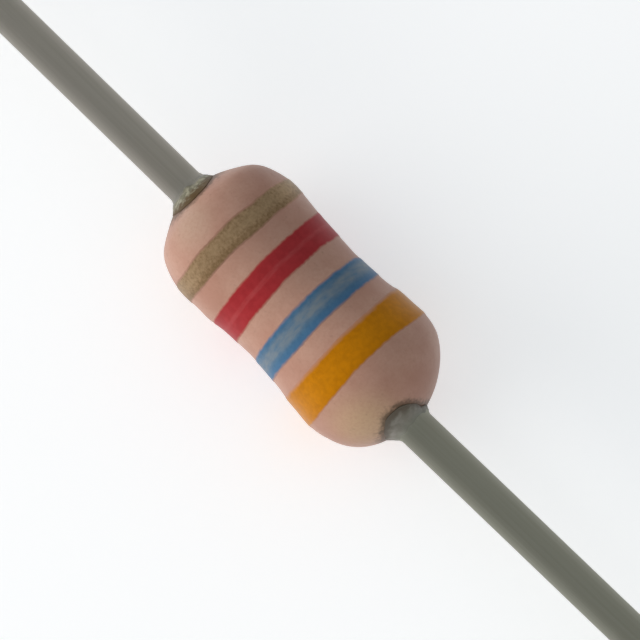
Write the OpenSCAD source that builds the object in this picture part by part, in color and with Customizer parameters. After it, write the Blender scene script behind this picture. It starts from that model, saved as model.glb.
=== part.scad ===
// Small axial carbon film resistor, with its two wire leads.
// The body lies along X, with its centre at the origin and its first band (orange) towards +X.
// All sizes are in millimetres.

/* [Ceramic rod] */
// Diameter of the ceramic rod
rod_d = 1.2; // [1.1:0.02:1.3]
// Length of the ceramic rod
rod_len = 2.36; // [2.1:0.02:2.6]
// Chamfer round each end of the rod
rod_chamfer = 0.05; // [0.03:0.01:0.08]

/* [Carbon film] */
// Thickness of the film on the rod
film_t = 0.02; // [0.015:0.005:0.03]
// Width of the spiral cut, along the rod
cut_w = 0.06; // [0.04:0.01:0.08]
// Distance from one turn of the cut to the next
cut_pitch = 0.24; // [0.2:0.01:0.26]
// Number of turns of the cut
cut_turns = 3.5; // [2:0.5:3.5]

/* [End caps] */
// Thickness of a cap's side wall
cap_wall = 0.1; // [0.08:0.01:0.13]
// Thickness of a cap's bottom
cap_bottom = 0.12; // [0.08:0.01:0.16]
// Length of a cap from its rim to the outside of its bottom
cap_len = 0.8; // [0.7:0.01:0.85]
// Radius of the outside edge between a cap's side and its bottom
cap_round = 0.14; // [0.1:0.01:0.18]
// Clearance between the rod's chamfer and the round inside the cap's bottom
cap_edge_clearance = 0.01; // [0.005:0.005:0.02]

/* [Leads] */
// Diameter of the wire
lead_d = 0.45; // [0.4:0.01:0.55]
// Length of a lead from the cap it is welded to
lead_len = 11.7; // [4:0.1:28]
// Diameter of the lead's foot, where it is welded to the cap
foot_d = 0.92; // [0.7:0.01:1]
// Length of the cone from the foot to the plain wire
foot_len = 0.67; // [0.6:0.01:0.9]
// Chamfer at the cut tip of the wire
tip_chamfer = 0.03; // [0.01:0.01:0.1]
// Lean of the gold end's lead out of the body's axis, in degrees
gold_lead_lean = 1.2; // [-2:0.1:2]
// Lean of the orange end's lead out of the body's axis, in degrees
orange_lead_lean = 1.7; // [-2:0.1:2]
// How far off centre the orange end's lead is welded
orange_lead_shift = 0.085; // [-0.1:0.005:0.1]

/* [Coat] */
// Thickness of the coat over the film, at the waist
coat_on_film = 0.2125; // [0.19:0.0025:0.24]
// Thickness of the coat over the cap at the gold end
coat_on_gold_cap = 0.18; // [0.15:0.01:0.22]
// Thickness of the coat over the cap at the orange end
coat_on_orange_cap = 0.2; // [0.15:0.01:0.22]
// How far the coat would reach past the bottom of each cap, if no wire left it
coat_past_cap = 0.545; // [0.5:0.005:0.6]
// Length of the rounded dome at each end of the coat
dome_len = 0.825; // [0.7:0.005:0.9]
// Fullness of the domes, where 2 is an ellipse
dome_power = 2.1; // [1.9:0.05:2.4]
// Share of the swell that comes evenly along the body, and not over the rims of the caps
even_swell = 0.68; // [0:0.02:1]

/* [Colour bands] */
// Thickness of the paint
paint_t = 0.015; // [0.01:0.005:0.03]
// Distance from the orange end's tip of the coat to the middle of the orange band
first_band_in = 0.917; // [0.85:0.001:0.95]
// Distance between the middles of the orange, blue and red bands
band_pitch = 0.66; // [0.6:0.01:0.67]
// Distance from the middle of the red band to the middle of the gold band
gold_step = 0.61; // [0.5:0.01:0.65]
// Width of the orange band
orange_w = 0.4; // [0.3:0.01:0.42]
// Width of the blue band
blue_w = 0.325; // [0.25:0.005:0.35]
// Width of the red band
red_w = 0.33; // [0.25:0.01:0.35]
// Width of the gold band
gold_w = 0.28; // [0.2:0.01:0.3]

/* [Hidden] */
$fn = 96;

// Facets of the spiral cut, of the round edges and of the coat's outline
cut_slices_per_turn = 24;
cut_sides = 4;
round_steps = 6;
dome_steps = 16;
waist_steps = 28;

gold_side = -1;
orange_side = 1;

film_r = rod_d / 2 + film_t;
cap_r = film_r + cap_wall;
cap_inside_round = rod_chamfer - cap_edge_clearance;
cap_face_x = rod_len / 2 + cap_bottom;
cap_rim_x = cap_face_x - cap_len;

lead_r = lead_d / 2;
foot_r = foot_d / 2;
// Length of the foot that is ground away where the leaning wire is made flush with its cap
heel = 0.05;

waist_r = film_r + coat_on_film;
gold_end_r = cap_r + coat_on_gold_cap;
orange_end_r = cap_r + coat_on_orange_cap;
coat_tip_x = cap_face_x + coat_past_cap;
dome_x = coat_tip_x - dome_len;

orange_x = coat_tip_x - first_band_in;
blue_x = orange_x - band_pitch;
red_x = blue_x - band_pitch;
gold_x = red_x - gold_step;

// Turns an outline, a list of [radius, place along the body], round the body's axis
module turned_about_x() {
    rotate([0, 90, 0]) rotate_extrude() children();
}

// Rises from 0 to 1, level at both ends
function smooth_step(t) = let (c = min(max(t, 0), 1)) c * c * (3 - 2 * c);

function reversed(list) = [for (i = [len(list) - 1:-1:0]) list[i]];

// Arc about a centre, from one angle to another
function arc(centre, radius, from, to) = [
    for (i = [0:round_steps])
        let (angle = from + (to - from) * i / round_steps)
            centre + radius * [cos(angle), sin(angle)]
];

// Outside of the orange end's cap, from its bottom round the edge to its rim
cap_outside = concat(
    [[0, cap_face_x]],
    arc([cap_r - cap_round, cap_face_x - cap_round], cap_round, 90, 0),
    [[cap_r, cap_rim_x]]
);

// Inside of the same cap, from its rim to the middle of its bottom
cap_inside = concat(
    [[film_r, cap_rim_x]],
    arc([film_r - cap_inside_round, rod_len / 2 - cap_inside_round], cap_inside_round, 0, 90),
    [[0, rod_len / 2]]
);

// Radius of the coat between its domes: even growth from the waist, and a swell over a cap's rim
function waist_outline_r(x) =
    let (end_r = x < 0 ? gold_end_r : orange_end_r)
    let (even = abs(x) / dome_x)
    let (over_rim = smooth_step((abs(x) - cap_rim_x) / (dome_x - cap_rim_x)))
        waist_r + (end_r - waist_r) * (even_swell * even + (1 - even_swell) * over_rim);

// Quarter of a superellipse, from the body's side to its tip
function dome_outline(end_r, side) = [
    for (i = [0:dome_steps])
        let (angle = 90 * i / dome_steps)
            [
                end_r * pow(cos(angle), 2 / dome_power),
                side * (dome_x + dome_len * pow(sin(angle), 2 / dome_power))
            ]
];

// Side of the coat from the gold end's tip to the orange end's tip
coat_outline = concat(
    reversed(dome_outline(gold_end_r, gold_side)),
    [
        for (i = [1:waist_steps - 1])
            let (x = dome_x * (2 * i / waist_steps - 1))
                [waist_outline_r(x), x]
    ],
    dome_outline(orange_end_r, orange_side)
);

module ceramic_rod() {
    color("#e9e6dc")
        turned_about_x()
            polygon([
                [0, -rod_len / 2],
                [rod_d / 2 - rod_chamfer, -rod_len / 2],
                [rod_d / 2, rod_chamfer - rod_len / 2],
                [rod_d / 2, rod_len / 2 - rod_chamfer],
                [rod_d / 2 - rod_chamfer, rod_len / 2],
                [0, rod_len / 2]
            ]);
}

// The path of the cutter: a wedge that starts on the rod's axis and twists along it
module spiral_cut() {
    wedge_angle = 360 * cut_w / cut_pitch;
    wedge_r = rod_d;
    wedge_rim = [
        for (i = [0:cut_sides])
            let (angle = wedge_angle * i / cut_sides)
                wedge_r * [cos(angle), sin(angle)]
    ];
    rotate([0, 90, 0])
        linear_extrude(
            height = cut_pitch * cut_turns,
            center = true,
            twist = 360 * cut_turns,
            slices = cut_turns * cut_slices_per_turn,
            segments = 0
        )
            polygon(concat([[0, 0]], wedge_rim));
}

module carbon_film() {
    color("#4a4540")
        difference() {
            turned_about_x()
                translate([rod_d / 2, rod_chamfer - rod_len / 2])
                    square([film_t, rod_len - 2 * rod_chamfer]);
            spiral_cut();
        }
}

// A drawn cup, pressed over the film until its bottom meets the end of the rod
module cap(side) {
    color("#b9b8b2")
        mirror([side == gold_side ? 1 : 0, 0, 0])
            turned_about_x() polygon(concat(cap_outside, cap_inside));
}

module cap_gold_end() {
    cap(gold_side);
}

module cap_orange_end() {
    cap(orange_side);
}

// A wire with a coned foot, turned along its own axis and ground flush with the cap
module lead(side, lean, shift) {
    grinding_block = 2 * foot_d;
    color("#8c8a84")
        difference() {
            translate([side * cap_face_x, shift, 0])
                rotate([0, side * 90, lean])
                    rotate_extrude()
                        polygon([
                            [0, -heel],
                            [foot_r, -heel],
                            [foot_r, 0],
                            [lead_r, foot_len],
                            [lead_r, lead_len - tip_chamfer],
                            [lead_r - tip_chamfer, lead_len],
                            [0, lead_len]
                        ]);
            translate([side * (cap_face_x - grinding_block / 2), 0, 0])
                cube(grinding_block, center = true);
        }
}

module lead_gold_end() {
    lead(gold_side, gold_lead_lean, 0);
}

module lead_orange_end() {
    lead(orange_side, orange_lead_lean, -orange_lead_shift);
}

// What the coat is cast round: the film and both caps, filled solid
module coated_insides() {
    gold_cap_outside = [for (p = reversed(cap_outside)) [p[0], -p[1]]];
    turned_about_x()
        polygon(concat(
            cap_outside,
            [[film_r, cap_rim_x], [film_r, -cap_rim_x]],
            gold_cap_outside
        ));
}

module coat() {
    color("#c79a86")
        difference() {
            turned_about_x() polygon(coat_outline);
            coated_insides();
            lead_gold_end();
            lead_orange_end();
        }
}

// A ring of paint that lies on the coat, so its inside has the coat's own outline
module band(x, width) {
    paint_outline = [for (p = reversed(coat_outline)) p + [paint_t, 0]];
    past_paint = 2 * cap_r;
    turned_about_x()
        intersection() {
            polygon(concat(coat_outline, paint_outline));
            translate([0, x - width / 2]) square([past_paint, width]);
        }
}

module band_orange() {
    color("#b97d0c") band(orange_x, orange_w);
}

module band_blue() {
    color("#3f77a6") band(blue_x, blue_w);
}

module band_red() {
    color("#a8343c") band(red_x, red_w);
}

module band_gold() {
    color("#a1845e") band(gold_x, gold_w);
}

ceramic_rod();
carbon_film();
cap_gold_end();
cap_orange_end();
lead_gold_end();
lead_orange_end();
coat();
band_orange();
band_blue();
band_red();
band_gold();
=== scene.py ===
import math

import bpy
import numpy as np
from mathutils import Matrix, Vector


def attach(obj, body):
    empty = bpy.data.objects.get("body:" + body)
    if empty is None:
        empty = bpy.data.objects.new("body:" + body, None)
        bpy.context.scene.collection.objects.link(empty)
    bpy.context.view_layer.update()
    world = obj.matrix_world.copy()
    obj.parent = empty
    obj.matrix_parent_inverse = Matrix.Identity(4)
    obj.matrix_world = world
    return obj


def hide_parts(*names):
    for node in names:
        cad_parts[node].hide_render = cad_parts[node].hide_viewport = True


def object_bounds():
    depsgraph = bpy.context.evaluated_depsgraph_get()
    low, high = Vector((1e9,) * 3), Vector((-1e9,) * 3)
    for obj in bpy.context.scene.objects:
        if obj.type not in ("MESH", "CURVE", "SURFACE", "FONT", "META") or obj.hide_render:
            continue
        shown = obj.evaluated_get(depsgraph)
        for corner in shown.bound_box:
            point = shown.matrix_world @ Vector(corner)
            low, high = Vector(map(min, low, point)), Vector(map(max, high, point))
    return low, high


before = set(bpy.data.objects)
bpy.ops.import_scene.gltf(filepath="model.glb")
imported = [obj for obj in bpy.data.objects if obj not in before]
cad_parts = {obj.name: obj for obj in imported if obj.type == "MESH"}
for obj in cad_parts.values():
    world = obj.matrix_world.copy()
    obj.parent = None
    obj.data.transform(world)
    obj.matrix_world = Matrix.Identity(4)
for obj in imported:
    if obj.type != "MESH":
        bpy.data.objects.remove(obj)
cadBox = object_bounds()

mm = 0.001
print("frame loaded, nodes:", len(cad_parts))

# The camera looks down steeply, with the gold end turned away and the wires running from corner to corner
camera = {
    "azimuth": 46.13,       # degrees round the part
    "elevation": 77.48,     # degrees above the floor
    "distance": 70.0,       # mm, far off, so that the wires keep their width
    "frameWidth": 7.331,    # mm across the picture, at the part
    "right": 0.197,         # mm from the middle of the body to the middle of the picture
    "down": 0.181,
    "sensor": 36.0,
    "nearest": 1.0,         # mm, the range that it sees
    "farthest": 10000.0,
}


# Right, up and backward directions of a camera that stands at this azimuth and elevation
def cameraAxes(azimuth, elevation):
    a, e = math.radians(azimuth), math.radians(elevation)
    back = Vector((math.sin(a) * math.cos(e), -math.cos(a) * math.cos(e), math.sin(e)))
    right = Vector((math.cos(a), math.sin(a), 0))
    return right, back.cross(right), back


# The matrix that stands a camera or a lamp at a place, with its right, up and backward directions along three axes
def standAt(place, axes):
    return Matrix.Translation(place) @ Matrix(axes).transposed().to_4x4()


viewAxes = cameraAxes(camera["azimuth"], camera["elevation"])
viewRight, viewUp, viewBack = viewAxes
aim = (viewRight * camera["right"] - viewUp * camera["down"]) * mm
cameraData = bpy.data.cameras.new("camera")
cameraData.sensor_width = camera["sensor"]
cameraData.lens = camera["sensor"] * camera["distance"] / camera["frameWidth"]
cameraData.clip_start = camera["nearest"] * mm
cameraData.clip_end = camera["farthest"] * mm
cameraObject = bpy.data.objects.new("camera", cameraData)
cameraObject.matrix_world = standAt(aim + viewBack * camera["distance"] * mm, viewAxes)
bpy.context.scene.collection.objects.link(cameraObject)
bpy.context.scene.camera = cameraObject
bpy.context.scene.view_settings.view_transform = "Standard"
print("camera placed")


# sRGB hex to linear, by the sRGB curve
def hexColour(text):
    parts = [int(text[i:i + 2], 16) / 255 for i in (1, 3, 5)]
    return [c / 12.92 if c <= 0.04045 else ((c + 0.055) / 1.055) ** 2.4 for c in parts] + [1.0]


# Adds one node: settings name its own properties or its inputs, links give an input and the socket that feeds it
def addNode(tree, kind, settings=(), links=()):
    node = tree.nodes.new("ShaderNode" + kind)
    for key, value in dict(settings).items():
        if isinstance(key, str) and hasattr(node, key):
            setattr(node, key, value)
        else:
            node.inputs[key].default_value = value
    for key, socket in dict(links).items():
        tree.links.new(socket, node.inputs[key])
    return node


# A material with only its shader and its output; shader values that are the same everywhere are set here
def newMaterial(name, shaderSettings):
    material = bpy.data.materials.new(name)
    material.use_nodes = True
    tree = material.node_tree
    tree.nodes.clear()
    shader = addNode(tree, "BsdfPrincipled", shaderSettings)
    addNode(tree, "OutputMaterial", (), {"Surface": shader.outputs[0]})
    return material, tree, shader


# Feature size in mm to the scale of a noise that reads metres: one over the size in metres
def perMm(size):
    return 1 / (size * mm)


light = {
    "room": "#eef2f1",              # pale walls all round
    "horizon": 0.19,                # strength of the room's light at eye level
    "ceiling": 0.57,                # and straight above
    "lean": 0.05,                   # brighter by this much towards +Y, and dimmer towards -Y
    "floorColour": "#f2f4f7",
    "floorRoughness": 0.6,
    "floorSheen": 0.2,
    "floorGlow": 0.46,
    "floorSize": 900.0,             # mm
    "floorGap": 0.0005,             # mm of air under the part
}

# Soft lights: azimuth and elevation in degrees, distance, width and height in mm, and power in watts, which is
# small because the part is small. The long low one stands at the lower left of the picture.
lamps = {
    "lowKey": {
        "azimuth": -42, "elevation": 9, "distance": 90, "width": 100, "height": 50,
        "power": 0.069, "colour": "#fff7f0",
    },
    "lowFront": {
        "azimuth": 35, "elevation": 9, "distance": 90, "width": 60, "height": 50,
        "power": 0.021, "colour": "#fff8ea",
    },
    "highSide": {
        "azimuth": -35, "elevation": 45, "distance": 90, "width": 60, "height": 60,
        "power": 0.009, "colour": "#fffaf4",
    },
}


# A rectangular soft light that faces the part and leaves no glint of its own on it
def softLight(name, lamp):
    data = bpy.data.lights.new(name, "AREA")
    data.shape = "RECTANGLE"
    data.size = lamp["width"] * mm
    data.size_y = lamp["height"] * mm
    data.energy = lamp["power"]
    data.color = hexColour(lamp["colour"])[:3]
    axes = cameraAxes(lamp["azimuth"], lamp["elevation"])
    box = bpy.data.objects.new(name, data)
    box.matrix_world = standAt(axes[2] * lamp["distance"] * mm, axes)
    box.visible_camera = False
    box.visible_glossy = False
    bpy.context.scene.collection.objects.link(box)


for name, lamp in lamps.items():
    softLight(name, lamp)

# The room's light grows evenly from the horizon to the ceiling, and leans a little to one side
world = bpy.data.worlds.new("room")
bpy.context.scene.world = world
world.use_nodes = True
tree = world.node_tree
background = tree.nodes["Background"]
background.inputs["Color"].default_value = hexColour(light["room"])
direction = addNode(tree, "SeparateXYZ", (), {0: addNode(tree, "TexCoord").outputs["Generated"]})
height = addNode(tree, "MapRange", {"To Min": light["horizon"], "To Max": light["ceiling"]},
                 {"Value": direction.outputs["Z"]})
leaning = addNode(tree, "Math", {"operation": "MULTIPLY_ADD", 1: light["lean"]},
                  {0: direction.outputs["Y"], 2: height.outputs[0]})
tree.links.new(leaning.outputs[0], background.inputs["Strength"])

# Opal acrylic, cast, with a little light from below: it gives the eye a bright, even ground
floorZ = cadBox[0].z / mm - light["floorGap"]
half = light["floorSize"] / 2
floorCorners = [(-half, -half), (half, -half), (half, half), (-half, half)]
floorMesh = bpy.data.meshes.new("floor")
floorMesh.from_pydata([(x * mm, y * mm, floorZ * mm) for x, y in floorCorners], [], [(0, 1, 2, 3)])
floor = bpy.data.objects.new("floor", floorMesh)
bpy.context.scene.collection.objects.link(floor)
acrylic, tree, shader = newMaterial("opalAcrylicCast", {
    "Base Color": hexColour(light["floorColour"]), "Roughness": light["floorRoughness"],
    "Specular IOR Level": light["floorSheen"],
    "Emission Color": hexColour(light["floorColour"]), "Emission Strength": light["floorGlow"],
})
floorMesh.materials.append(acrylic)
print("lights and floor ready")


# Rises from 0 to 1, level at both ends: three times t squared, less twice t cubed
def smoothStep(t):
    c = np.clip(t, 0, 1)
    return c * c * (3 - 2 * c)


rippleTop = 1.6     # a sum of ripples seldom rises past this


# A sum of sine waves over the angle round the body and the place along it, with whole waves round it, so that it
# closes on itself. The sum is divided by the root of their number, so that its height hardly depends on it.
def ripples(angle, along, seed, count, mostRound, mostAlong):
    draw = np.random.default_rng(seed)
    total = np.zeros(np.broadcast(angle, along).shape)
    for _ in range(count):
        roundWaves = draw.integers(-mostRound, mostRound + 1)
        alongWaves = draw.uniform(-mostAlong, mostAlong)
        total = total + np.sin(roundWaves * angle + alongWaves * along + draw.uniform(0, 2 * np.pi))
    return total / math.sqrt(count)


# Angles for one closed ring: a full turn divided by their number, times 0, 1, 2 and so on
def ringAngles(count):
    return np.arange(count) * 2 * np.pi / count


# Skins a grid of points (rows of closed rings, in mm). Each ring joins the next. The last ring joins the first, or
# both end rings close on a point in their middle. All faces are turned over if the volume comes out negative.
def addSurface(name, grid, joinsEnds):
    rows, columns = grid.shape[:2]
    points = grid.reshape(-1, 3)
    index = np.arange(rows * columns).reshape(rows, columns)
    nextColumn = np.roll(index, -1, axis=1)
    if joinsEnds:
        here, there = (index, nextColumn), (np.roll(index, -1, axis=0), np.roll(nextColumn, -1, axis=0))
    else:
        here, there = (index[:-1], nextColumn[:-1]), (index[1:], nextColumn[1:])
    quads = np.stack([here[0], here[1], there[1], there[0]], axis=-1).reshape(-1, 4)
    fans = np.zeros((0, 3), int)
    if not joinsEnds:
        first, last = len(points), len(points) + 1
        points = np.vstack([points, grid[0].mean(0), grid[-1].mean(0)])
        fans = np.vstack([
            np.stack([np.full(columns, first), nextColumn[0], index[0]], axis=-1),
            np.stack([np.full(columns, last), index[-1], nextColumn[-1]], axis=-1),
        ])
    triangles = np.vstack([quads[:, [0, 1, 2]], quads[:, [0, 2, 3]], fans])
    a, b, c = (points[triangles[:, i]] for i in range(3))
    if np.einsum("ij,ij->i", a, np.cross(b, c)).sum() < 0:
        quads, fans = quads[:, ::-1], fans[:, ::-1]
    mesh = bpy.data.meshes.new(name)
    mesh.from_pydata((points * mm).tolist(), [], quads.tolist() + fans.tolist())
    mesh.validate()
    mesh.polygons.foreach_set("use_smooth", np.ones(len(mesh.polygons), bool))
    piece = bpy.data.objects.new(name, mesh)
    bpy.context.scene.collection.objects.link(piece)
    return piece


# Gives every point a number that its material reads
def addValues(piece, name, values):
    attribute = piece.data.attributes.new(name, "FLOAT", "POINT")
    attribute.data.foreach_set("value", np.asarray(values, np.float32).reshape(-1))


# Finishes a piece: its material, the body it rides on, and the node it stands for, which it hides
def finishPiece(piece, material, node=None):
    piece.data.materials.append(material)
    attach(piece, "root")
    if node:
        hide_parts(node)
    print("piece", piece.name, "faces", len(piece.data.polygons))


gold, orange = -1, 1                # the two ends of the part, as signs along X
viewerAngle = math.radians(98.74)   # the side of the body that faces the camera, as an angle round it

# The two leads. Lengths are in mm, and a pair of values is for the gold and the orange end.
wire = {
    "radius": 0.225,
    "footRadius": 0.46,
    "footLength": 0.64,
    "length": 11.699,                   # from the cap to the cut tip
    "tipChamfer": 0.03,
    "lean": {gold: 1.2, orange: 1.7},   # degrees
    "shift": {gold: 0.0, orange: -0.085},
    # the orange end's greys are darker than the gold end's: painted shade, as the wire is the same
    "bright": {gold: "#cec9c1", orange: "#bebdb1"},
    "dull": {gold: "#c7c2b9", orange: "#b7b6a9"},
    "roughness": 0.80,
    "streakAcross": 0.03,               # drawn coarser than a die's real marks, which are too fine to show
    "streakAlong": 2.0,
    "streakDepth": 0.0005,
    "around": 96,
    "coneRings": 30,
    "plainRings": 120,
    "tipMiddle": 0.08,                  # radius of the smallest ring on the cut tip
    "sharpAngle": 35,                   # degrees, from which an edge is sharp
}

# The coat, and the caps and film that it is cast round. Lengths are in mm.
coat = {
    "waistRadius": 0.8325,
    "endRadius": {gold: 0.90, orange: 0.92},
    "domeStart": 1.02,
    "domeLength": 0.825,
    "domePower": 2.1,               # fullness of the domes, where 2 is an ellipse
    "evenSwell": 0.68,              # share of the growth from the waist that comes evenly along the body
    "filmRadius": 0.62,
    "capRadius": 0.72,
    "capRim": 0.50,
    "capFace": 1.30,
    "capRound": 0.14,

    # How it differs from its plain outline
    "waviness": 0.0022,                         # how far the dipped skin swells and sinks
    "runs": ((-0.64, 188.7, 0.022), (0.70, 8.7, 0.018), (0.66, 188.7, 0.012)),  # place along, degrees round, height
    "runLength": 0.14,
    "shoulder": {gold: 0.017, orange: 0.0},     # fuller just past the bands
    "shoulderPlace": 1.5,
    "shoulderLength": 0.14,
    "drawnIn": {gold: 0.040, orange: 0.0},      # slimmer just before the mouth
    "drawnInFrom": 1.52,
    "drawnInOver": 0.20,
    "skew": {gold: -0.010, orange: -0.068},     # sideways, at the mouth
    "skewLate": {gold: 5.0, orange: 1.1},       # how late the skew comes, where 1 is evenly over the dome
    "skewFrom": 1.30,
    "skewOver": 0.48,
    "creep": {gold: 0.0, orange: 0.020},        # further along the lead on the +Y side
    "slideLate": 1.5,                           # how late over the dome its rings slide to the lead's axis
    "edgeFrom": 0.5,                            # share of the dome past which they take on the mouth's edge
    "edgeLate": 1.5,

    # The mouths round the leads
    "mouthRadius": {gold: 0.345, orange: 0.285},   # from the lead's axis to the coat's edge
    "towardViewer": {gold: 0.245, orange: 0.255},  # how much further the edge has drawn back on the camera's side
    "pointed": {gold: 2, orange: 4.4},             # how narrow that bay is
    "turned": {gold: 0.0, orange: 5.0},            # degrees from the camera's side to the middle of the bay
    "sideways": {gold: -0.020, orange: -0.060},    # and on the +Y side
    "ragged": {gold: 0.007, orange: 0.007},
    "lip": 0.008,                                  # radius of the rolled edge
    "grooveDepth": 0.09,                           # of the groove round the lead
    "grooveBend": 1.6,                             # how hollow the groove's wall is, where 1 is straight
    "grooveGap": 0.004,                            # between the lead and the groove's floor
    "coneGap": 0.002,                              # and between the lead and the coat, down to the cap
    "dirtAndShadeReach": {gold: 0.080, orange: 0.090},     # how far the dirt and painted shade reach over the edge
    "dirtAndShadeAside": {gold: 1.9, orange: 0.4},         # and how much further away from the camera's side

    # Finish: colours, and sizes of the mottle, the powder's specks, the dirt and painted shade, and the fine grain
    "light": "#bc9585",
    "dark": "#af8474",
    "mottleSize": 0.5,                          # a patch where the powder melted thicker
    "speck": "#a57867",
    "speckSize": 0.035,                         # a grain of the powder
    "speckShare": 0.20,
    # the dirt's colour, which also paints the shade in and round the mouths
    "dirtAndShade": "#4f4131",
    "dirtAndShadeGrain": 0.055,                         # a crumb of burnt flux; the same grain frays the painted shade
    "dirtAndShadeRagged": 1.3,                          # how much its grain frays it
    "dirtAndShadeFrom": 0.75,                           # where the sum of dirt-and-shade and grain starts to show
    "dirtAndShadeFull": 1.70,
    "dirtAndShadeShare": 0.80,
    "grain": 0.03,                              # what is left of the powder's grains in the skin
    "grainDepth": 0.0006,
    "roughness": 0.40,
    "sheen": 0.15,
    # Painted highlights: paler, yellower patches that stand for the soft lights' reflection on the domes; middle and
    # reach, and colour
    "paintedHighlights": (((-1.42, -0.36, 0.65), 0.44, "#bb9c8b"), ((1.57, -0.51, 0.46), 0.60, "#c0a083")),
    "highlightCore": 0.15,                          # share of its reach in which a painted highlight is full

    "around": 320,
    "domeRings": 72,
    "waistRings": 84,
    "lipRings": 7,
    "grooveRings": 6,
    "coneRings": 5,
    "cornerRings": 5,
}


# Start, direction and sideways direction of a lead: it leans by an angle in the XY plane
def wireAxis(side):
    lean = math.radians(wire["lean"][side])
    start = np.array([side * coat["capFace"], wire["shift"][side], 0.0])
    direction = side * np.array([math.cos(lean), math.sin(lean), 0.0])
    return start, direction, np.array([-math.sin(lean), math.cos(lean), 0.0])


# Points round a lead at a distance along it and a distance out from its axis: out times the cosine of the angle goes
# sideways, and out times its sine goes up
def roundWire(side, along, out, angle):
    start, direction, sideways = wireAxis(side)
    along, out, angle = np.broadcast_arrays(along, out, angle)
    upward = np.array([0.0, 0.0, 1.0])
    return (start + along[..., None] * direction
            + (out * np.cos(angle))[..., None] * sideways + (out * np.sin(angle))[..., None] * upward)


# Radius of a lead: it falls evenly along the cone of its foot, and stays that of the plain wire from there on
def wireRadius(along):
    return np.interp(along, [0, wire["footLength"]], [wire["footRadius"], wire["radius"]])


# Radius of the coat at a place along the body. Between the domes it grows from the waist, partly evenly and partly
# over the rims of the caps; a dome is a quarter of a superellipse.
def coatRadius(x):
    endRadius = np.where(x < 0, coat["endRadius"][gold], coat["endRadius"][orange])
    reach = np.abs(x)
    even = reach / coat["domeStart"]
    overRim = smoothStep((reach - coat["capRim"]) / (coat["domeStart"] - coat["capRim"]))
    share = coat["evenSwell"] * even + (1 - coat["evenSwell"]) * overRim
    middle = coat["waistRadius"] + (endRadius - coat["waistRadius"]) * share
    past = np.clip((reach - coat["domeStart"]) / coat["domeLength"], 0, 1)
    dome = endRadius * (1 - past ** coat["domePower"]) ** (1 / coat["domePower"])
    return np.where(reach <= coat["domeStart"], middle, dome)


# The coat's own unevenness: long, low swells, as a dipped and baked skin has, and a few bell-shaped places where it
# ran thicker
def coatSwell(angle, x):
    swell = coat["waviness"] * ripples(angle, x, seed=11, count=14, mostRound=4, mostAlong=5.0) / rippleTop
    for place, degrees, height in coat["runs"]:
        turned = np.clip(np.cos(angle - math.radians(degrees)), 0, 1) ** 2
        swell = swell + height * turned * np.exp(-((x - place) / coat["runLength"]) ** 2)
    return swell


# Distance from a lead's axis to the coat's ragged edge, by the angle round the lead: a circle, a bay that is a power
# of the cosine, a shift sideways and ripples
def mouthRadius(side, angle):
    bayMiddle = viewerAngle + math.radians(coat["turned"][side])
    facing = np.clip(np.cos(angle - bayMiddle), 0, 1) ** coat["pointed"][side]
    rough = ripples(angle, 0.0, seed=30 + side, count=16, mostRound=17, mostAlong=0.0)
    return (coat["mouthRadius"][side] + coat["towardViewer"][side] * facing
            + coat["sideways"][side] * np.cos(angle) + coat["ragged"][side] * rough)


# How far a dome departs from its superellipse: fuller at the shoulder and slimmer before the mouth, and pushed
# sideways
def domeTrim(side, reach):
    shoulder = coat["shoulder"][side] * np.exp(-((reach - coat["shoulderPlace"]) / coat["shoulderLength"]) ** 2)
    slim = coat["drawnIn"][side] * smoothStep((reach - coat["drawnInFrom"]) / coat["drawnInOver"])
    skewShare = np.clip((reach - coat["skewFrom"]) / coat["skewOver"], 0, 1) ** coat["skewLate"][side]
    return shoulder - slim, coat["skew"][side] * skewShare


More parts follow.
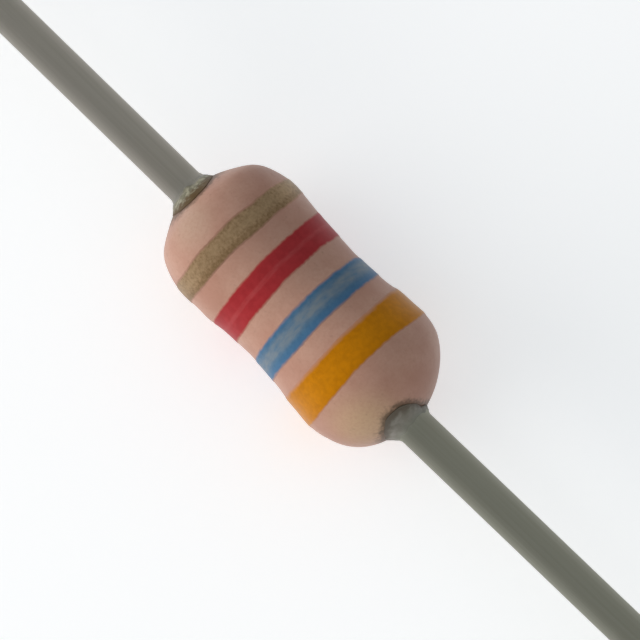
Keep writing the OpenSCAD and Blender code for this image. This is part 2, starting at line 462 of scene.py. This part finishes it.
# One end of the coat, as rings from the widest place over the dome to the mouth, and down into it to the cap and the
# film. Over the dome the rings shrink and slide from the body's axis to the lead's, and stay on the superellipse.
def coatEnd(side, angle, domeRings):
    endRadius, power = coat["endRadius"][side], coat["domePower"]
    edge = mouthRadius(side, angle)
    meanEdge = edge.mean()
    start, direction, _ = wireAxis(side)
    mouthReach = coat["domeStart"] + coat["domeLength"] * (1 - (meanEdge / endRadius) ** power) ** (1 / power)
    wireY = start[1] + (mouthReach - coat["capFace"]) * direction[1] / abs(direction[0])
    centreY = wireY - domeTrim(side, mouthReach)[1]
    lastTurn = math.acos((meanEdge / endRadius) ** (power / 2))
    share = np.linspace(0, 1, domeRings)[:, None]
    nearMouth = smoothStep((share - coat["edgeFrom"]) / (1 - coat["edgeFrom"])) ** coat["edgeLate"]
    out = endRadius * np.cos(share * lastTurn) ** (2 / power) + (edge - meanEdge) * nearMouth
    y = centreY * smoothStep(share) ** coat["slideLate"] + out * np.cos(angle)
    z = out * np.sin(angle)
    fromAxis = np.hypot(y, z)
    past = np.clip(1 - (fromAxis / endRadius) ** power, 0, 1) ** (1 / power)
    reach = coat["domeStart"] + coat["domeLength"] * past
    trim, skew = domeTrim(side, reach)
    grow = 1 + (coatSwell(angle, side * reach) * (1 - nearMouth) + trim) / fromAxis
    creep = coat["creep"][side] * nearMouth * np.clip(np.cos(angle), 0, 1) ** 2
    dome = np.stack([side * (reach + creep), y * grow + skew, z * grow], axis=-1)

    # The rolled lip and the groove: sideways in, then down along the lead to its cone
    roll = np.linspace(0, math.pi / 2, coat["lipRings"])[1:, None, None]
    inward = np.stack([np.zeros_like(angle), -np.cos(angle), -np.sin(angle)], axis=-1)
    down = np.array([-side, 0.0, 0.0])
    lipRings = dome[-1] + coat["lip"] * np.sin(roll) * inward + coat["lip"] * (1 - np.cos(roll)) * down
    alongWire = side * lipRings[-1][:, 0] - coat["capFace"] - coat["grooveDepth"]
    grooveFloor = roundWire(side, alongWire, wireRadius(alongWire) + coat["grooveGap"], angle)
    wall = np.linspace(0, 1, coat["grooveRings"])[1:, None, None]
    bend = wall * np.array([1.0, 0.0, 0.0]) + wall ** coat["grooveBend"] * np.array([0.0, 1.0, 1.0])
    grooveRings = lipRings[-1] + (grooveFloor - lipRings[-1]) * bend
    coneAlong = alongWire * np.linspace(1, 0, coat["coneRings"])[1:, None]
    coneRings = roundWire(side, coneAlong, wireRadius(coneAlong) + coat["coneGap"], angle)

    # Round the cap: its face, its rounded edge, its side, its rim and the film
    corner = np.linspace(0, math.pi / 2, coat["cornerRings"])
    capOut = coat["capRadius"] - coat["capRound"] * (1 - np.sin(corner))
    capOut = np.concatenate([capOut, [coat["capRadius"], coat["filmRadius"]]])[:, None]
    capX = coat["capFace"] - coat["capRound"] * (1 - np.cos(corner))
    capX = np.concatenate([capX, [coat["capRim"], coat["capRim"]]])[:, None]
    capPoints = np.broadcast_arrays(side * capX, capOut * np.cos(angle), capOut * np.sin(angle))
    rings = np.concatenate([dome, lipRings, grooveRings, coneRings, np.stack(capPoints, axis=-1)])

    # Dirt and painted shade: full inside the mouth, where shade falls, and fading over the dome with the distance
    # from the edge
    distance = np.linalg.norm(dome - dome[-1], axis=-1)
    aside = 1 - np.clip(np.cos(angle - viewerAngle), 0, 1) ** 2
    dirtAndShadeReach = coat["dirtAndShadeReach"][side] * (1 + coat["dirtAndShadeAside"][side] * aside)
    dirtAndShade = np.ones(rings.shape[:2])
    dirtAndShade[:domeRings] = np.exp(-(distance / dirtAndShadeReach) ** 2)
    return rings, dirtAndShade


# The coat: one end, the rings of the waist by coatRadius, and the other end, joined through the inside along the film
def coatSurface(name):
    angle = ringAngles(coat["around"])
    goldRings, goldDirtAndShade = coatEnd(gold, angle, coat["domeRings"])
    orangeRings, orangeDirtAndShade = coatEnd(orange, angle, coat["domeRings"])
    x = np.linspace(-coat["domeStart"], coat["domeStart"], coat["waistRings"])[1:-1, None]
    out = coatRadius(x) + coatSwell(angle, x)
    waist = np.stack(np.broadcast_arrays(x, out * np.cos(angle), out * np.sin(angle)), axis=-1)
    piece = addSurface(name, np.concatenate([goldRings[::-1], waist, orangeRings]), True)
    addValues(piece, "mouthDirtAndShade", np.concatenate([goldDirtAndShade[::-1], np.zeros(out.shape), orangeDirtAndShade]))
    return piece


# Epoxy coating powder, rolled on and baked: smooth and satin, pink-tan and slightly mottled, dirty at the mouths,
# where their shade is painted in too. Its colour is a mottle of two, then the painted highlights by the distance from
# their middles, then the specks, then the dirt and painted shade.
def coatMaterial(name):
    material, tree, shader = newMaterial(name, {
        "Roughness": coat["roughness"], "IOR": 1.5, "Specular IOR Level": coat["sheen"]})
    place = addNode(tree, "TexCoord").outputs["Object"]
    mottle = addNode(tree, "TexNoise", {"Scale": perMm(coat["mottleSize"]), "Detail": 3.0}, {"Vector": place})
    blend = addNode(tree, "MapRange", {"From Min": 0.35, "From Max": 0.65}, {"Value": mottle.outputs[0]})
    skin = addNode(tree, "Mix", {"data_type": "RGBA", 6: hexColour(coat["light"]), 7: hexColour(coat["dark"])},
                   {0: blend.outputs[0]})
    # Painted highlights: paler patches that stand for the soft lights' reflection on the domes
    for middle, reach, colour in coat["paintedHighlights"]:
        away = addNode(tree, "VectorMath", {"operation": "DISTANCE", 1: [c * mm for c in middle]}, {0: place})
        highlighted = addNode(tree, "MapRange", {
            "interpolation_type": "SMOOTHSTEP", "From Min": reach * mm, "From Max": coat["highlightCore"] * reach * mm},
            {"Value": away.outputs["Value"]})
        skin = addNode(tree, "Mix", {"data_type": "RGBA", 7: hexColour(colour)},
                       {0: highlighted.outputs[0], 6: skin.outputs[2]})
    powder = addNode(tree, "TexNoise", {"Scale": perMm(coat["speckSize"]), "Detail": 2.0}, {"Vector": place})
    specks = addNode(tree, "MapRange", {"From Min": 0.42, "From Max": 0.68, "To Max": coat["speckShare"]},
                     {"Value": powder.outputs[0]})
    speckled = addNode(tree, "Mix", {"data_type": "RGBA", 7: hexColour(coat["speck"])},
                       {0: specks.outputs[0], 6: skin.outputs[2]})
    # Dirt and painted shade: dark inside the mouth, and fading over the dome from its edge
    dirtAndShadeValue = addNode(tree, "Attribute", {"attribute_name": "mouthDirtAndShade"}).outputs["Fac"]
    dirtAndShadeNoise = addNode(tree, "TexNoise", {"Scale": perMm(coat["dirtAndShadeGrain"]), "Detail": 2.0}, {"Vector": place})
    dirtAndShadeSum = addNode(tree, "Math", {"operation": "MULTIPLY_ADD", 1: coat["dirtAndShadeRagged"]},
                      {0: dirtAndShadeNoise.outputs[0], 2: dirtAndShadeValue})
    dirtAndShadeShare = addNode(tree, "MapRange", {
        "interpolation_type": "SMOOTHSTEP", "From Min": coat["dirtAndShadeFrom"], "From Max": coat["dirtAndShadeFull"],
        "To Max": coat["dirtAndShadeShare"]}, {"Value": dirtAndShadeSum.outputs[0]})
    dirtyAndShaded = addNode(tree, "Mix", {"data_type": "RGBA", 7: hexColour(coat["dirtAndShade"])},
                    {0: dirtAndShadeShare.outputs[0], 6: speckled.outputs[2]})
    grain = addNode(tree, "TexNoise", {"Scale": perMm(coat["grain"]), "Detail": 2.0}, {"Vector": place})
    bump = addNode(tree, "Bump", {"Strength": 0.5, "Distance": coat["grainDepth"] * mm},
                   {"Height": grain.outputs[0]})
    tree.links.new(dirtyAndShaded.outputs[2], shader.inputs["Base Color"])
    tree.links.new(bump.outputs[0], shader.inputs["Normal"])
    return material


finishPiece(coatSurface("resin_coat"), coatMaterial("epoxyCoatingBaked"), "coat")

# What is left on the foot of each lead where it comes out of the coat: epoxy flash and burnt flux, and the shade of
# the crevice under the coat's edge, painted into its brown. Lengths are in mm along the lead; the profile laps over
# the coat's edge a little, slopes in to the cone, with a low ragged collar, and ends on the wire. Where a colour
# ends, and how softly, is a share of the residue's length.
residue = {
    gold: {
        "far": 0.578,               # where it ends
        "farRagged": 0.012,
        "bend": 1.00,               # how hollow the slope is, where 1 is straight
        "collar": 0.005,            # height of the collar
        "collarPlace": 0.60,        # share of its length where the collar is
        "lumps": 0.0025,
        "skin": 0.006,
        "colourShiftAside": 0.30,            # how much further out the colours start away from the camera's side
        # brown of burnt flux, which also paints the shade of the crevice under the coat's edge
        "burntAndShadeColour": "#574221",
        "burntAndShadeEnd": 0.45,
        "burntAndShadeBlur": 0.22,
        "collarColour": "#757362",
        "collarEnd": 0.88,
        "collarBlur": 0.10,
        "patchColour": "#a19e8a",
        "patchSize": 0.06,          # mm, a flake of the dried flux
        "patchMin": 0.38,           # where in the noise the patches start and are full
        "patchMax": 0.66,
        "wireColour": "#82807a",
        "wander": 0.13,             # how far the patches push the colours' ends about
        "roughness": 0.55,
    },
    orange: {
        # The orange end's brown, too, is burnt flux with the crevice's shade painted in
        "far": 0.605, "farRagged": 0.014, "bend": 1.25, "collar": 0.001, "collarPlace": 0.70, "lumps": 0.0015,
        "skin": 0.003, "colourShiftAside": 0.05, "burntAndShadeColour": "#5a5043", "burntAndShadeEnd": 0.30, "burntAndShadeBlur": 0.20,
        "collarColour": "#7c786f", "collarEnd": 0.78, "collarBlur": 0.22, "patchColour": "#87837b",
        "patchSize": 0.09, "patchMin": 0.40, "patchMax": 0.65, "wireColour": "#84847a", "wander": 0.09,
        "roughness": 0.50,
    },
    "overRim": 0.003,               # how far it laps over the coat's edge
    "leastGap": 0.01,               # it starts at least this far out from the cone
    "collarPatchy": 0.6,
    "collarLength": 0.16,           # this and the next three are shares of its length
    "riseOver": 0.1,
    "fadeFrom": 0.72,
    "thinFrom": 0.80,
    "thinTo": 1.2,                  # past 1, the skin sinks into the wire at its far edge
    "deepest": 0.001,               # how far collar and lumps may dip below the slope
    "edgeRings": 24,
    "rings": 44,
    "around": 256,
}


# The residue, as rings round a lead. Out = cone + skin + gap times (1 - share) to the power bend + collar + lumps,
# and collar and lumps fade out to the far edge; the underside runs back just inside the cone.
def residueSurface(name, side):
    own = residue[side]
    angle = ringAngles(residue["around"])
    rings, _ = coatEnd(side, angle, residue["edgeRings"])
    start, direction, sideways = wireAxis(side)
    rim = rings[residue["edgeRings"] - 1] - start
    near = rim @ direction
    nearOut = np.hypot(rim @ sideways, rim[:, 2]) + residue["overRim"]
    farRough = ripples(angle, 0.0, seed=70 + side, count=14, mostRound=14, mostAlong=0.0)
    far = own["far"] + own["farRagged"] * farRough
    share = np.linspace(0, 1, residue["rings"])[:, None]
    along = near + (far - near) * share
    gap = np.maximum(nearOut - wireRadius(near), residue["leastGap"])
    slope = gap * (1 - share) ** own["bend"]
    patchy = 1 + residue["collarPatchy"] * ripples(angle, 0.0, seed=80 + side, count=12, mostRound=11, mostAlong=0.0)
    collarBell = np.exp(-((share - own["collarPlace"]) / residue["collarLength"]) ** 2)
    collar = own["collar"] * patchy * collarBell
    lumps = own["lumps"] * ripples(angle, along, seed=90 + side, count=30, mostRound=26, mostAlong=70.0)
    fade = 1 - smoothStep((share - residue["fadeFrom"]) / (1 - residue["fadeFrom"]))
    rise = smoothStep(share / residue["riseOver"])
    thinning = smoothStep((share - residue["thinFrom"]) / (1 - residue["thinFrom"]))
    skin = own["skin"] * (1 - residue["thinTo"] * thinning)
    out = wireRadius(along) + slope + skin + np.maximum((collar + lumps * rise) * fade, -residue["deepest"])
    under = wireRadius(along[::-1]) - own["skin"]
    surface = np.concatenate([roundWire(side, along, out, angle), roundWire(side, along[::-1], under, angle)])
    piece = addSurface(name, surface, True)
    colourShiftAside = own["colourShiftAside"] * (1 - np.clip(np.cos(angle - viewerAngle), 0, 1) ** 2)
    addValues(piece, "alongFoot", np.concatenate([share, share[::-1]]) + colourShiftAside)
    return piece


# Epoxy flash and burnt flux, baked on the tinned foot: brown next to the coat, which also paints the shade of the
# crevice under its edge, then grey with paler, yellowish patches, then the wire's grey. The place along the foot,
# pushed about by the patches, picks the colour.
def residueMaterial(name, own):
    material, tree, shader = newMaterial(name, {"Roughness": own["roughness"], "IOR": 1.5, "Specular IOR Level": 0.4})
    place = addNode(tree, "TexCoord").outputs["Object"]
    share = addNode(tree, "Attribute", {"attribute_name": "alongFoot"}).outputs["Fac"]
    patches = addNode(tree, "TexNoise", {"Scale": perMm(own["patchSize"]), "Detail": 2.0}, {"Vector": place})
    wander = addNode(tree, "MapRange", {
        "From Min": 0.3, "From Max": 0.7, "To Min": -own["wander"], "To Max": own["wander"]},
        {"Value": patches.outputs[0]})
    moved = addNode(tree, "Math", {"operation": "ADD"}, {0: share, 1: wander.outputs[0]})
    patchShare = addNode(tree, "MapRange", {
        "interpolation_type": "SMOOTHSTEP", "From Min": own["patchMin"], "From Max": own["patchMax"]},
        {"Value": patches.outputs[0]})
    collar = addNode(tree, "Mix", {
        "data_type": "RGBA", 6: hexColour(own["collarColour"]), 7: hexColour(own["patchColour"])},
        {0: patchShare.outputs[0]})
    pastBurntAndShade = addNode(tree, "MapRange", {
        "interpolation_type": "SMOOTHSTEP", "From Min": own["burntAndShadeEnd"] - own["burntAndShadeBlur"],
        "From Max": own["burntAndShadeEnd"] + own["burntAndShadeBlur"]}, {"Value": moved.outputs[0]})
    near = addNode(tree, "Mix", {"data_type": "RGBA", 6: hexColour(own["burntAndShadeColour"])},
                   {0: pastBurntAndShade.outputs[0], 7: collar.outputs[2]})
    pastCollar = addNode(tree, "MapRange", {
        "interpolation_type": "SMOOTHSTEP", "From Min": own["collarEnd"] - own["collarBlur"],
        "From Max": own["collarEnd"] + own["collarBlur"]}, {"Value": moved.outputs[0]})
    final = addNode(tree, "Mix", {"data_type": "RGBA", 7: hexColour(own["wireColour"])},
                    {0: pastCollar.outputs[0], 6: near.outputs[2]})
    tree.links.new(final.outputs[2], shader.inputs["Base Color"])
    return material


for side, end in ((gold, "gold"), (orange, "orange")):
    leftover = residueSurface("mouth_residue_" + end + "_end", side)
    finishPiece(leftover, residueMaterial("epoxyFlashBaked" + end.capitalize(), residue[side]))

# Each band has its shape and its paint. Places and widths are along the body, in mm. A band leans by "tilt" from the
# -Y to the +Y side, and is wider by "spread" at the sides than where it faces the camera, where its two edges also
# fall back to -X by "sag". The edges wander, and the paint thins out over "softLow" and "softHigh". The colours are
# the paint's body and its darker flecks, "fleckSize" mm across, the line where it piles up at the edges, and the
# paler middle, with how much of it shows, how far it reaches and where in the band it lies. "bloom" is a dusty sheen.
# The gold paint's flecks are drawn coarser than real metal flake, which is too fine to show.
bands = {
    "orange": {
        "place": 0.911, "width": 0.421, "spread": 0.060, "sag": (0.060, 0.050), "tilt": -0.004, "wander": 0.012,
        "seed": 51, "softLow": 0.070, "softHigh": 0.030,
        "body": "#c07a00", "fleck": "#b27000", "fleckSize": 0.06, "pile": "#b97500", "pileShare": 0.3,
        "middle": "#c48008", "middleShare": 0.25, "reach": 0.40, "centre": 0.50,
        "sheen": 0.05, "metallic": 0.0, "bloom": 0.30,
    },
    "blue": {
        "place": 0.273, "width": 0.366, "spread": 0.0, "sag": (0.010, 0.045), "tilt": -0.006, "wander": 0.008,
        "seed": 52, "softLow": 0.045, "softHigh": 0.045,
        "body": "#4a7090", "fleck": "#416788", "fleckSize": 0.06, "pile": "#3f6b95", "pileShare": 0.45,
        "middle": "#74818c", "middleShare": 1.0, "reach": 0.32, "centre": 0.44,
        "sheen": 0.15, "metallic": 0.0, "bloom": 0.0,
    },
    "red": {
        "place": -0.373, "width": 0.374, "spread": 0.0, "sag": (0.040, 0.035), "tilt": -0.024, "wander": 0.007,
        "seed": 53, "softLow": 0.035, "softHigh": 0.035,
        "body": "#a33035", "fleck": "#9a2b30", "fleckSize": 0.08, "pile": "#a02d31", "pileShare": 0.4,
        "middle": "#b04e50", "middleShare": 0.45, "reach": 0.11, "centre": 0.50,
        "sheen": 0.10, "metallic": 0.0, "bloom": 0.03,
    },
    "gold": {
        "place": -0.980, "width": 0.300, "spread": 0.0, "sag": (0.030, 0.075), "tilt": 0.006, "wander": 0.014,
        "seed": 54, "softLow": 0.045, "softHigh": 0.035,
        "body": "#a48869", "fleck": "#82694c", "fleckSize": 0.035, "pile": "#826849", "pileShare": 0.45,
        "middle": "#a78e6e", "middleShare": 0.6, "reach": 0.40, "centre": 0.40,
        "sheen": 0.15, "metallic": 0.35, "bloom": 0.0,
    },
}

# What all four bands share
paint = {
    "thickness": 0.005,
    "pile": 0.3,                    # share of the thickness that only the piled-up line has
    "pilePlace": 0.04,
    "pileLength": 0.025,
    "edge": 0.030,                  # length of the rise at each edge
    "edgeBluntness": 0.5,
    "ragged": 0.0045,               # fine raggedness of the edges, on top of their wander
    "sagLate": 4,                   # how far round from the camera's side the sag comes
    "under": 0.004,                 # depth of the ring's underside in the coat
    "streakWidth": 0.05,            # drawn coarser than the wheel's real marks, which are too fine to show
    "streakLength": 0.16,
    "thinFrom": 0.15,               # where in the streaks' noise the paint starts to be starved, and is
    "thinFull": 0.65,
    "frayed": 0.8,                  # how much the same noise frays the edges
    "coverFrom": 0.25,              # where the sum of depth and fraying starts to hide the coat, and hides it
    "coverFull": 1.3,
    "middleCore": 0.25,             # share of its reach in which the paler middle is full
    "pileFrom": 0.26,               # distances from the band's middle, as shares of its width
    "pileFull": 0.40,
    "roughness": 0.42,
    "bloomRoughness": 0.4,
    "across": 26,
    "around": 400,
}


# A ring of paint on the coat. Across the band its height rises at each edge, piles up a little just inside it and is
# lower in the middle. The underside lies just inside the coat, so the ring is closed.
def bandSurface(name, band):
    angle = ringAngles(paint["around"])
    facing = np.clip(np.cos(angle - viewerAngle), 0, 1)
    edges = []
    for seed in (band["seed"], band["seed"] + 100):
        long = band["wander"] * ripples(angle, 0.0, seed=seed, count=12, mostRound=9, mostAlong=0.0)
        short = paint["ragged"] * ripples(angle, 0.0, seed=seed + 50, count=40, mostRound=80, mostAlong=0.0)
        edges.append(long / rippleTop + short / rippleTop)
    middle = band["place"] + band["tilt"] * np.cos(angle)
    halfWidth = (band["width"] + band["spread"] * (1 - facing)) / 2
    aside = (1 - facing ** 2) ** paint["sagLate"]
    low = middle - halfWidth + edges[0] - band["sag"][0] * aside
    high = middle + halfWidth + edges[1] - band["sag"][1] * aside
    share = (1 - np.cos(np.linspace(0, math.pi, paint["across"])))[:, None] / 2
    x = low + (high - low) * share
    fromEdge = np.minimum(x - low, high - x)
    pile = np.exp(-((fromEdge - paint["pilePlace"]) / paint["pileLength"]) ** 2)
    rise = smoothStep(fromEdge / paint["edge"]) ** paint["edgeBluntness"]
    height = paint["thickness"] * (1 - paint["pile"] + paint["pile"] * pile) * rise
    skinRadius = coatRadius(x) + coatSwell(angle, x)
    out = np.concatenate([skinRadius + height, skinRadius[::-1] - paint["under"]])
    along = np.concatenate([x, x[::-1]])
    piece = addSurface(name, np.stack([along, out * np.cos(angle), out * np.sin(angle)], axis=-1), True)
    depth = np.minimum((x - low) / band["softLow"], (high - x) / band["softHigh"])
    addValues(piece, "acrossBand", np.concatenate([share, share[::-1]]) * np.ones_like(angle))
    addValues(piece, "paintDepth", np.concatenate([depth, depth[::-1]]))
    return piece


# Alkyd paint, laid on by a wheel and cured: opaque and satin. It is thin at its edges, where the coat shows through,
# darker where it has piled up, and starved along the middle, in streaks that run round the body.
def bandMaterial(name, band):
    material, tree, shader = newMaterial(name, {
        "Roughness": paint["roughness"], "IOR": 1.5, "Specular IOR Level": band["sheen"],
        "Metallic": band["metallic"], "Sheen Weight": band["bloom"], "Sheen Roughness": paint["bloomRoughness"]})
    place = addNode(tree, "TexCoord").outputs["Object"]
    across = addNode(tree, "Attribute", {"attribute_name": "acrossBand"}).outputs["Fac"]
    depth = addNode(tree, "Attribute", {"attribute_name": "paintDepth"}).outputs["Fac"]
    flecks = addNode(tree, "TexNoise", {"Scale": perMm(band["fleckSize"]), "Detail": 2.0}, {"Vector": place})
    fleckShare = addNode(tree, "MapRange", {"From Min": 0.35, "From Max": 0.65}, {"Value": flecks.outputs[0]})
    skin = addNode(tree, "Mix", {"data_type": "RGBA", 6: hexColour(band["body"]), 7: hexColour(band["fleck"])},
                   {0: fleckShare.outputs[0]})
    longScale = perMm(paint["streakLength"])
    stretch = addNode(tree, "Mapping", {"Scale": (perMm(paint["streakWidth"]), longScale, longScale)},
                      {"Vector": place})
    streak = addNode(tree, "TexNoise", {"Scale": 1.0, "Detail": 2.0}, {"Vector": stretch.outputs[0]})
    thin = addNode(tree, "MapRange", {"From Min": paint["thinFrom"], "From Max": paint["thinFull"]},
                   {"Value": streak.outputs[0]})
    centred = addNode(tree, "Math", {"operation": "SUBTRACT", 1: band["centre"]}, {0: across})
    away = addNode(tree, "Math", {"operation": "ABSOLUTE"}, {0: centred.outputs[0]})
    nearMiddle = addNode(tree, "MapRange", {
        "interpolation_type": "SMOOTHSTEP", "From Min": band["reach"],
        "From Max": paint["middleCore"] * band["reach"], "To Max": band["middleShare"]},
        {"Value": away.outputs[0]})
    starved = addNode(tree, "Math", {"operation": "MULTIPLY"}, {0: nearMiddle.outputs[0], 1: thin.outputs[0]})
    middle = addNode(tree, "Mix", {"data_type": "RGBA", 7: hexColour(band["middle"])},
                     {0: starved.outputs[0], 6: skin.outputs[2]})
    nearEdge = addNode(tree, "MapRange", {
        "interpolation_type": "SMOOTHSTEP", "From Min": paint["pileFrom"], "From Max": paint["pileFull"],
        "To Max": band["pileShare"]}, {"Value": away.outputs[0]})
    piled = addNode(tree, "Mix", {"data_type": "RGBA", 7: hexColour(band["pile"])},
                    {0: nearEdge.outputs[0], 6: middle.outputs[2]})
    frayed = addNode(tree, "Math", {"operation": "MULTIPLY_ADD", 1: paint["frayed"]},
                     {0: streak.outputs[0], 2: depth})
    cover = addNode(tree, "MapRange", {
        "interpolation_type": "SMOOTHSTEP", "From Min": paint["coverFrom"], "From Max": paint["coverFull"]},
        {"Value": frayed.outputs[0]})
    final = addNode(tree, "Mix", {"data_type": "RGBA", 6: hexColour(coat["dark"])},
                    {0: cover.outputs[0], 7: piled.outputs[2]})
    tree.links.new(final.outputs[2], shader.inputs["Base Color"])
    return material


for colour, band in bands.items():
    ring = bandSurface("painted_band_" + colour, band)
    finishPiece(ring, bandMaterial("alkydPaint" + colour.capitalize(), band), "band_" + colour)


# A lead: rings from its flat foot on the cap, along the cone and the plain wire, to the chamfered tip
def leadSurface(name, side):
    cone = np.linspace(0, wire["footLength"], wire["coneRings"])
    plainEnd = wire["length"] - wire["tipChamfer"]
    plain = np.linspace(wire["footLength"], plainEnd, wire["plainRings"])[1:]
    along = np.concatenate([[0.0], cone, plain, [wire["length"], wire["length"]]])[:, None]
    tipOut = [wire["radius"] - wire["tipChamfer"], wire["tipMiddle"]]
    out = np.concatenate([[wire["footRadius"] / 2], wireRadius(cone), wireRadius(plain), tipOut])[:, None]
    rings = roundWire(side, along, out, ringAngles(wire["around"]))
    rings[..., 0] = side * np.maximum(side * rings[..., 0], coat["capFace"])
    piece = addSurface(name, rings, False)
    piece.data.set_sharp_from_angle(angle=math.radians(wire["sharpAngle"]))
    return piece


# Steel wire, hot-dip tinned and drawn: dull grey metal with very faint streaks along it. The orange-end wire has
# darker greys, which are painted shade on the same wire. The streaks are a noise that is stretched along the leaning
# wire.
def wireMaterial(name, side):
    material, tree, shader = newMaterial(name, {"Metallic": 1.0, "Roughness": wire["roughness"]})
    place = addNode(tree, "TexCoord").outputs["Object"]
    lean = addNode(tree, "Mapping", {
        "vector_type": "TEXTURE", "Rotation": (0, 0, math.radians(wire["lean"][side]))}, {"Vector": place})
    across = perMm(wire["streakAcross"])
    stretch = addNode(tree, "Mapping", {"Scale": (perMm(wire["streakAlong"]), across, across)},
                      {"Vector": lean.outputs[0]})
    streak = addNode(tree, "TexNoise", {"Scale": 1.0, "Detail": 3.0}, {"Vector": stretch.outputs[0]})
    blend = addNode(tree, "MapRange", {"From Min": 0.3, "From Max": 0.7}, {"Value": streak.outputs[0]})
    skin = addNode(tree, "Mix", {
        "data_type": "RGBA", 6: hexColour(wire["bright"][side]), 7: hexColour(wire["dull"][side])},
        {0: blend.outputs[0]})
    bump = addNode(tree, "Bump", {"Strength": 0.3, "Distance": wire["streakDepth"] * mm},
                   {"Height": streak.outputs[0]})
    tree.links.new(skin.outputs[2], shader.inputs["Base Color"])
    tree.links.new(bump.outputs[0], shader.inputs["Normal"])
    return material


for side, end in ((gold, "gold"), (orange, "orange")):
    lead = leadSurface("tinned_lead_" + end + "_end", side)
    material = wireMaterial("tinnedSteelWireDrawn" + end.capitalize(), side)
    finishPiece(lead, material, "lead_" + end + "_end")

# Inside, out of sight: the ceramic rod, the carbon film and the tinned caps keep their CAD meshes. Each is faintly
# mottled: fired steatite is matt and off-white, pyrolytic carbon grey-black, and a drawn tinned cap dull and grey.
# The mottles are drawn coarser than the real grain, which is too fine to show.
tinnedCap = {
    "material": "tinnedSteelCapDrawn", "shader": {"Metallic": 1.0, "Roughness": 0.38},
    "pale": "#c2c0b9", "deep": "#a5a39b", "mottleSize": 0.06,
}
insides = {
    "ceramic_rod": {
        "material": "steatiteFired", "shader": {"Roughness": 0.6},
        "pale": "#e9e6dc", "deep": "#dad5c8", "mottleSize": 0.08,
    },
    "carbon_film": {
        "material": "carbonFilmPyrolytic", "shader": {"Roughness": 0.35},
        "pale": "#4a4540", "deep": "#38342f", "mottleSize": 0.05,
    },
    "cap_gold_end": tinnedCap,
    "cap_orange_end": tinnedCap,
}
for node, look in insides.items():
    material, tree, shader = newMaterial(look["material"], look["shader"])
    place = addNode(tree, "TexCoord").outputs["Object"]
    mottle = addNode(tree, "TexNoise", {"Scale": perMm(look["mottleSize"]), "Detail": 3.0}, {"Vector": place})
    skin = addNode(tree, "Mix", {"data_type": "RGBA", 6: hexColour(look["pale"]), 7: hexColour(look["deep"])},
                   {0: mottle.outputs[0]})
    tree.links.new(skin.outputs[2], shader.inputs["Base Color"])
    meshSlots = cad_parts[node].data.materials
    meshSlots.clear()
    meshSlots.append(material)
print("inner parts dressed")
